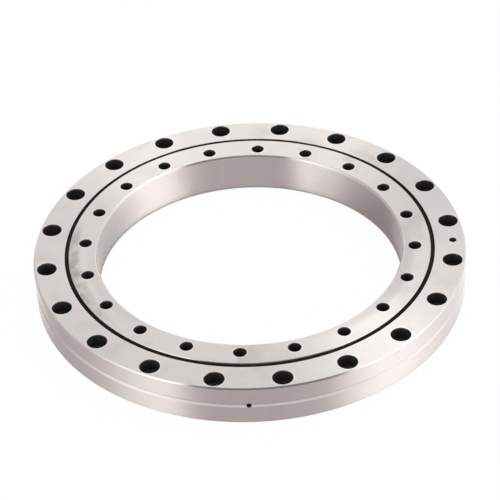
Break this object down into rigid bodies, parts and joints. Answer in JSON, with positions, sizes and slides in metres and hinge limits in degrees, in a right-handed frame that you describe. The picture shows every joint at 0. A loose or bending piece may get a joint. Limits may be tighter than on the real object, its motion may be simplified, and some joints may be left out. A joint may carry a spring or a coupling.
{
  "type": "crossed roller bearing",
  "caption": "Flat crossed roller bearing: two steel rings with mounting holes turn on each other over crossed rollers, with rubber seals at both faces.",
  "frame": {"origin": "centre of the outer ring's bottom face, on the axis of rotation", "axes": "+Z along the axis of rotation, out of the counterbored face; +X towards the loading plug and its pin"},
  "size_m": [0.255, 0.255, 0.0254],
  "materials": {
    "ring_steel": "ground bearing steel, faces fine ground, light satin",
    "roller_steel": "hardened bearing steel, lapped",
    "plug_steel": "turned with the ring",
    "pin_steel": "blackened",
    "seal_rubber": "matt black nitrile rubber",
    "cage_brass": "sheet brass, pierced"
  },
  "bodies": {
    "outer": {"outer_ring": "ring_steel", "upper_seal": "seal_rubber", "lower_seal": "seal_rubber", "loading_plug": "plug_steel", "plug_pin": "pin_steel"},
    "inner": {"inner_ring": "ring_steel"},
    "cage": {"roller_cage": "cage_brass"},
    "roller_01": {"roller_01": "roller_steel"},
    "roller_02": {"roller_02": "roller_steel"},
    "roller_03": {"roller_03": "roller_steel"},
    "roller_04": {"roller_04": "roller_steel"},
    "roller_05": {"roller_05": "roller_steel"},
    "roller_06": {"roller_06": "roller_steel"},
    "roller_07": {"roller_07": "roller_steel"},
    "roller_08": {"roller_08": "roller_steel"},
    "roller_09": {"roller_09": "roller_steel"},
    "roller_10": {"roller_10": "roller_steel"},
    "roller_11": {"roller_11": "roller_steel"},
    "roller_12": {"roller_12": "roller_steel"},
    "roller_13": {"roller_13": "roller_steel"},
    "roller_14": {"roller_14": "roller_steel"},
    "roller_15": {"roller_15": "roller_steel"},
    "roller_16": {"roller_16": "roller_steel"},
    "roller_17": {"roller_17": "roller_steel"},
    "roller_18": {"roller_18": "roller_steel"},
    "roller_19": {"roller_19": "roller_steel"},
    "roller_20": {"roller_20": "roller_steel"},
    "roller_21": {"roller_21": "roller_steel"},
    "roller_22": {"roller_22": "roller_steel"},
    "roller_23": {"roller_23": "roller_steel"},
    "roller_24": {"roller_24": "roller_steel"},
    "roller_25": {"roller_25": "roller_steel"},
    "roller_26": {"roller_26": "roller_steel"},
    "roller_27": {"roller_27": "roller_steel"},
    "roller_28": {"roller_28": "roller_steel"},
    "roller_29": {"roller_29": "roller_steel"},
    "roller_30": {"roller_30": "roller_steel"},
    "roller_31": {"roller_31": "roller_steel"},
    "roller_32": {"roller_32": "roller_steel"},
    "roller_33": {"roller_33": "roller_steel"},
    "roller_34": {"roller_34": "roller_steel"},
    "roller_35": {"roller_35": "roller_steel"},
    "roller_36": {"roller_36": "roller_steel"},
    "roller_37": {"roller_37": "roller_steel"},
    "roller_38": {"roller_38": "roller_steel"},
    "roller_39": {"roller_39": "roller_steel"},
    "roller_40": {"roller_40": "roller_steel"},
    "roller_41": {"roller_41": "roller_steel"},
    "roller_42": {"roller_42": "roller_steel"},
    "roller_43": {"roller_43": "roller_steel"},
    "roller_44": {"roller_44": "roller_steel"},
    "roller_45": {"roller_45": "roller_steel"},
    "roller_46": {"roller_46": "roller_steel"},
    "roller_47": {"roller_47": "roller_steel"},
    "roller_48": {"roller_48": "roller_steel"},
    "roller_49": {"roller_49": "roller_steel"},
    "roller_50": {"roller_50": "roller_steel"},
    "roller_51": {"roller_51": "roller_steel"},
    "roller_52": {"roller_52": "roller_steel"}
  },
  "joints": [
    {"name": "inner_ring_spin", "type": "hinge", "parent": "outer", "child": "inner", "pos_m": [0, 0, 0.0127], "axis": [0, 0, 1], "continuous": true},
    {"name": "cage_spin", "type": "hinge", "parent": "outer", "child": "cage", "pos_m": [0, 0, 0.0127], "axis": [0, 0, 1], "continuous": true},
    {"name": "roller_01_spin", "type": "hinge", "parent": "cage", "child": "roller_01", "pos_m": [0.109, 0, 0.0127], "axis": [0.7071, 0, 0.7071], "continuous": true},
    {"name": "roller_02_spin", "type": "hinge", "parent": "cage", "child": "roller_02", "pos_m": [0.10821, 0.01314, 0.0127], "axis": [-0.702, -0.0852, 0.7071], "continuous": true},
    {"name": "roller_03_spin", "type": "hinge", "parent": "cage", "child": "roller_03", "pos_m": [0.10583, 0.02609, 0.0127], "axis": [0.6866, 0.1692, 0.7071], "continuous": true},
    {"name": "roller_04_spin", "type": "hinge", "parent": "cage", "child": "roller_04", "pos_m": [0.10192, 0.03865, 0.0127], "axis": [-0.6612, -0.2507, 0.7071], "continuous": true},
    {"name": "roller_05_spin", "type": "hinge", "parent": "cage", "child": "roller_05", "pos_m": [0.09651, 0.05065, 0.0127], "axis": [0.6261, 0.3286, 0.7071], "continuous": true},
    {"name": "roller_06_spin", "type": "hinge", "parent": "cage", "child": "roller_06", "pos_m": [0.08971, 0.06192, 0.0127], "axis": [-0.5819, -0.4017, 0.7071], "continuous": true},
    {"name": "roller_07_spin", "type": "hinge", "parent": "cage", "child": "roller_07", "pos_m": [0.08159, 0.07228, 0.0127], "axis": [0.5293, 0.4689, 0.7071], "continuous": true},
    {"name": "roller_08_spin", "type": "hinge", "parent": "cage", "child": "roller_08", "pos_m": [0.07228, 0.08159, 0.0127], "axis": [-0.4689, -0.5293, 0.7071], "continuous": true},
    {"name": "roller_09_spin", "type": "hinge", "parent": "cage", "child": "roller_09", "pos_m": [0.06192, 0.08971, 0.0127], "axis": [0.4017, 0.5819, 0.7071], "continuous": true},
    {"name": "roller_10_spin", "type": "hinge", "parent": "cage", "child": "roller_10", "pos_m": [0.05065, 0.09651, 0.0127], "axis": [-0.3286, -0.6261, 0.7071], "continuous": true},
    {"name": "roller_11_spin", "type": "hinge", "parent": "cage", "child": "roller_11", "pos_m": [0.03865, 0.10192, 0.0127], "axis": [0.2507, 0.6612, 0.7071], "continuous": true},
    {"name": "roller_12_spin", "type": "hinge", "parent": "cage", "child": "roller_12", "pos_m": [0.02609, 0.10583, 0.0127], "axis": [-0.1692, -0.6866, 0.7071], "continuous": true},
    {"name": "roller_13_spin", "type": "hinge", "parent": "cage", "child": "roller_13", "pos_m": [0.01314, 0.10821, 0.0127], "axis": [0.0852, 0.702, 0.7071], "continuous": true},
    {"name": "roller_14_spin", "type": "hinge", "parent": "cage", "child": "roller_14", "pos_m": [0, 0.109, 0.0127], "axis": [0, -0.7071, 0.7071], "continuous": true},
    {"name": "roller_15_spin", "type": "hinge", "parent": "cage", "child": "roller_15", "pos_m": [-0.01314, 0.10821, 0.0127], "axis": [-0.0852, 0.702, 0.7071], "continuous": true},
    {"name": "roller_16_spin", "type": "hinge", "parent": "cage", "child": "roller_16", "pos_m": [-0.02609, 0.10583, 0.0127], "axis": [0.1692, -0.6866, 0.7071], "continuous": true},
    {"name": "roller_17_spin", "type": "hinge", "parent": "cage", "child": "roller_17", "pos_m": [-0.03865, 0.10192, 0.0127], "axis": [-0.2507, 0.6612, 0.7071], "continuous": true},
    {"name": "roller_18_spin", "type": "hinge", "parent": "cage", "child": "roller_18", "pos_m": [-0.05065, 0.09651, 0.0127], "axis": [0.3286, -0.6261, 0.7071], "continuous": true},
    {"name": "roller_19_spin", "type": "hinge", "parent": "cage", "child": "roller_19", "pos_m": [-0.06192, 0.08971, 0.0127], "axis": [-0.4017, 0.5819, 0.7071], "continuous": true},
    {"name": "roller_20_spin", "type": "hinge", "parent": "cage", "child": "roller_20", "pos_m": [-0.07228, 0.08159, 0.0127], "axis": [0.4689, -0.5293, 0.7071], "continuous": true},
    {"name": "roller_21_spin", "type": "hinge", "parent": "cage", "child": "roller_21", "pos_m": [-0.08159, 0.07228, 0.0127], "axis": [-0.5293, 0.4689, 0.7071], "continuous": true},
    {"name": "roller_22_spin", "type": "hinge", "parent": "cage", "child": "roller_22", "pos_m": [-0.08971, 0.06192, 0.0127], "axis": [0.5819, -0.4017, 0.7071], "continuous": true},
    {"name": "roller_23_spin", "type": "hinge", "parent": "cage", "child": "roller_23", "pos_m": [-0.09651, 0.05065, 0.0127], "axis": [-0.6261, 0.3286, 0.7071], "continuous": true},
    {"name": "roller_24_spin", "type": "hinge", "parent": "cage", "child": "roller_24", "pos_m": [-0.10192, 0.03865, 0.0127], "axis": [0.6612, -0.2507, 0.7071], "continuous": true},
    {"name": "roller_25_spin", "type": "hinge", "parent": "cage", "child": "roller_25", "pos_m": [-0.10583, 0.02609, 0.0127], "axis": [-0.6866, 0.1692, 0.7071], "continuous": true},
    {"name": "roller_26_spin", "type": "hinge", "parent": "cage", "child": "roller_26", "pos_m": [-0.10821, 0.01314, 0.0127], "axis": [0.702, -0.0852, 0.7071], "continuous": true},
    {"name": "roller_27_spin", "type": "hinge", "parent": "cage", "child": "roller_27", "pos_m": [-0.109, 0, 0.0127], "axis": [-0.7071, 0, 0.7071], "continuous": true},
    {"name": "roller_28_spin", "type": "hinge", "parent": "cage", "child": "roller_28", "pos_m": [-0.10821, -0.01314, 0.0127], "axis": [0.702, 0.0852, 0.7071], "continuous": true},
    {"name": "roller_29_spin", "type": "hinge", "parent": "cage", "child": "roller_29", "pos_m": [-0.10583, -0.02609, 0.0127], "axis": [-0.6866, -0.1692, 0.7071], "continuous": true},
    {"name": "roller_30_spin", "type": "hinge", "parent": "cage", "child": "roller_30", "pos_m": [-0.10192, -0.03865, 0.0127], "axis": [0.6612, 0.2507, 0.7071], "continuous": true},
    {"name": "roller_31_spin", "type": "hinge", "parent": "cage", "child": "roller_31", "pos_m": [-0.09651, -0.05065, 0.0127], "axis": [-0.6261, -0.3286, 0.7071], "continuous": true},
    {"name": "roller_32_spin", "type": "hinge", "parent": "cage", "child": "roller_32", "pos_m": [-0.08971, -0.06192, 0.0127], "axis": [0.5819, 0.4017, 0.7071], "continuous": true},
    {"name": "roller_33_spin", "type": "hinge", "parent": "cage", "child": "roller_33", "pos_m": [-0.08159, -0.07228, 0.0127], "axis": [-0.5293, -0.4689, 0.7071], "continuous": true},
    {"name": "roller_34_spin", "type": "hinge", "parent": "cage", "child": "roller_34", "pos_m": [-0.07228, -0.08159, 0.0127], "axis": [0.4689, 0.5293, 0.7071], "continuous": true},
    {"name": "roller_35_spin", "type": "hinge", "parent": "cage", "child": "roller_35", "pos_m": [-0.06192, -0.08971, 0.0127], "axis": [-0.4017, -0.5819, 0.7071], "continuous": true},
    {"name": "roller_36_spin", "type": "hinge", "parent": "cage", "child": "roller_36", "pos_m": [-0.05065, -0.09651, 0.0127], "axis": [0.3286, 0.6261, 0.7071], "continuous": true},
    {"name": "roller_37_spin", "type": "hinge", "parent": "cage", "child": "roller_37", "pos_m": [-0.03865, -0.10192, 0.0127], "axis": [-0.2507, -0.6612, 0.7071], "continuous": true},
    {"name": "roller_38_spin", "type": "hinge", "parent": "cage", "child": "roller_38", "pos_m": [-0.02609, -0.10583, 0.0127], "axis": [0.1692, 0.6866, 0.7071], "continuous": true},
    {"name": "roller_39_spin", "type": "hinge", "parent": "cage", "child": "roller_39", "pos_m": [-0.01314, -0.10821, 0.0127], "axis": [-0.0852, -0.702, 0.7071], "continuous": true},
    {"name": "roller_40_spin", "type": "hinge", "parent": "cage", "child": "roller_40", "pos_m": [0, -0.109, 0.0127], "axis": [0, 0.7071, 0.7071], "continuous": true},
    {"name": "roller_41_spin", "type": "hinge", "parent": "cage", "child": "roller_41", "pos_m": [0.01314, -0.10821, 0.0127], "axis": [0.0852, -0.702, 0.7071], "continuous": true},
    {"name": "roller_42_spin", "type": "hinge", "parent": "cage", "child": "roller_42", "pos_m": [0.02609, -0.10583, 0.0127], "axis": [-0.1692, 0.6866, 0.7071], "continuous": true},
    {"name": "roller_43_spin", "type": "hinge", "parent": "cage", "child": "roller_43", "pos_m": [0.03865, -0.10192, 0.0127], "axis": [0.2507, -0.6612, 0.7071], "continuous": true},
    {"name": "roller_44_spin", "type": "hinge", "parent": "cage", "child": "roller_44", "pos_m": [0.05065, -0.09651, 0.0127], "axis": [-0.3286, 0.6261, 0.7071], "continuous": true},
    {"name": "roller_45_spin", "type": "hinge", "parent": "cage", "child": "roller_45", "pos_m": [0.06192, -0.08971, 0.0127], "axis": [0.4017, -0.5819, 0.7071], "continuous": true},
    {"name": "roller_46_spin", "type": "hinge", "parent": "cage", "child": "roller_46", "pos_m": [0.07228, -0.08159, 0.0127], "axis": [-0.4689, 0.5293, 0.7071], "continuous": true},
    {"name": "roller_47_spin", "type": "hinge", "parent": "cage", "child": "roller_47", "pos_m": [0.08159, -0.07228, 0.0127], "axis": [0.5293, -0.4689, 0.7071], "continuous": true},
    {"name": "roller_48_spin", "type": "hinge", "parent": "cage", "child": "roller_48", "pos_m": [0.08971, -0.06192, 0.0127], "axis": [-0.5819, 0.4017, 0.7071], "continuous": true},
    {"name": "roller_49_spin", "type": "hinge", "parent": "cage", "child": "roller_49", "pos_m": [0.09651, -0.05065, 0.0127], "axis": [0.6261, -0.3286, 0.7071], "continuous": true},
    {"name": "roller_50_spin", "type": "hinge", "parent": "cage", "child": "roller_50", "pos_m": [0.10192, -0.03865, 0.0127], "axis": [-0.6612, 0.2507, 0.7071], "continuous": true},
    {"name": "roller_51_spin", "type": "hinge", "parent": "cage", "child": "roller_51", "pos_m": [0.10583, -0.02609, 0.0127], "axis": [0.6866, -0.1692, 0.7071], "continuous": true},
    {"name": "roller_52_spin", "type": "hinge", "parent": "cage", "child": "roller_52", "pos_m": [0.10821, -0.01314, 0.0127], "axis": [-0.702, 0.0852, 0.7071], "continuous": true}
  ],
  "couplings": [
    {"joint": "cage_spin", "follows": "inner_ring_spin", "ratio": 0.48703},
    {"joint": "roller_01_spin", "follows": "inner_ring_spin", "ratio": -13.616},
    {"joint": "roller_02_spin", "follows": "inner_ring_spin", "ratio": -13.616},
    {"joint": "roller_03_spin", "follows": "inner_ring_spin", "ratio": -13.616},
    {"joint": "roller_04_spin", "follows": "inner_ring_spin", "ratio": -13.616},
    {"joint": "roller_05_spin", "follows": "inner_ring_spin", "ratio": -13.616},
    {"joint": "roller_06_spin", "follows": "inner_ring_spin", "ratio": -13.616},
    {"joint": "roller_07_spin", "follows": "inner_ring_spin", "ratio": -13.616},
    {"joint": "roller_08_spin", "follows": "inner_ring_spin", "ratio": -13.616},
    {"joint": "roller_09_spin", "follows": "inner_ring_spin", "ratio": -13.616},
    {"joint": "roller_10_spin", "follows": "inner_ring_spin", "ratio": -13.616},
    {"joint": "roller_11_spin", "follows": "inner_ring_spin", "ratio": -13.616},
    {"joint": "roller_12_spin", "follows": "inner_ring_spin", "ratio": -13.616},
    {"joint": "roller_13_spin", "follows": "inner_ring_spin", "ratio": -13.616},
    {"joint": "roller_14_spin", "follows": "inner_ring_spin", "ratio": -13.616},
    {"joint": "roller_15_spin", "follows": "inner_ring_spin", "ratio": -13.616},
    {"joint": "roller_16_spin", "follows": "inner_ring_spin", "ratio": -13.616},
    {"joint": "roller_17_spin", "follows": "inner_ring_spin", "ratio": -13.616},
    {"joint": "roller_18_spin", "follows": "inner_ring_spin", "ratio": -13.616},
    {"joint": "roller_19_spin", "follows": "inner_ring_spin", "ratio": -13.616},
    {"joint": "roller_20_spin", "follows": "inner_ring_spin", "ratio": -13.616},
    {"joint": "roller_21_spin", "follows": "inner_ring_spin", "ratio": -13.616},
    {"joint": "roller_22_spin", "follows": "inner_ring_spin", "ratio": -13.616},
    {"joint": "roller_23_spin", "follows": "inner_ring_spin", "ratio": -13.616},
    {"joint": "roller_24_spin", "follows": "inner_ring_spin", "ratio": -13.616},
    {"joint": "roller_25_spin", "follows": "inner_ring_spin", "ratio": -13.616},
    {"joint": "roller_26_spin", "follows": "inner_ring_spin", "ratio": -13.616},
    {"joint": "roller_27_spin", "follows": "inner_ring_spin", "ratio": -13.616},
    {"joint": "roller_28_spin", "follows": "inner_ring_spin", "ratio": -13.616},
    {"joint": "roller_29_spin", "follows": "inner_ring_spin", "ratio": -13.616},
    {"joint": "roller_30_spin", "follows": "inner_ring_spin", "ratio": -13.616},
    {"joint": "roller_31_spin", "follows": "inner_ring_spin", "ratio": -13.616},
    {"joint": "roller_32_spin", "follows": "inner_ring_spin", "ratio": -13.616},
    {"joint": "roller_33_spin", "follows": "inner_ring_spin", "ratio": -13.616},
    {"joint": "roller_34_spin", "follows": "inner_ring_spin", "ratio": -13.616},
    {"joint": "roller_35_spin", "follows": "inner_ring_spin", "ratio": -13.616},
    {"joint": "roller_36_spin", "follows": "inner_ring_spin", "ratio": -13.616},
    {"joint": "roller_37_spin", "follows": "inner_ring_spin", "ratio": -13.616},
    {"joint": "roller_38_spin", "follows": "inner_ring_spin", "ratio": -13.616},
    {"joint": "roller_39_spin", "follows": "inner_ring_spin", "ratio": -13.616},
    {"joint": "roller_40_spin", "follows": "inner_ring_spin", "ratio": -13.616},
    {"joint": "roller_41_spin", "follows": "inner_ring_spin", "ratio": -13.616},
    {"joint": "roller_42_spin", "follows": "inner_ring_spin", "ratio": -13.616},
    {"joint": "roller_43_spin", "follows": "inner_ring_spin", "ratio": -13.616},
    {"joint": "roller_44_spin", "follows": "inner_ring_spin", "ratio": -13.616},
    {"joint": "roller_45_spin", "follows": "inner_ring_spin", "ratio": -13.616},
    {"joint": "roller_46_spin", "follows": "inner_ring_spin", "ratio": -13.616},
    {"joint": "roller_47_spin", "follows": "inner_ring_spin", "ratio": -13.616},
    {"joint": "roller_48_spin", "follows": "inner_ring_spin", "ratio": -13.616},
    {"joint": "roller_49_spin", "follows": "inner_ring_spin", "ratio": -13.616},
    {"joint": "roller_50_spin", "follows": "inner_ring_spin", "ratio": -13.616},
    {"joint": "roller_51_spin", "follows": "inner_ring_spin", "ratio": -13.616},
    {"joint": "roller_52_spin", "follows": "inner_ring_spin", "ratio": -13.616}
  ]
}
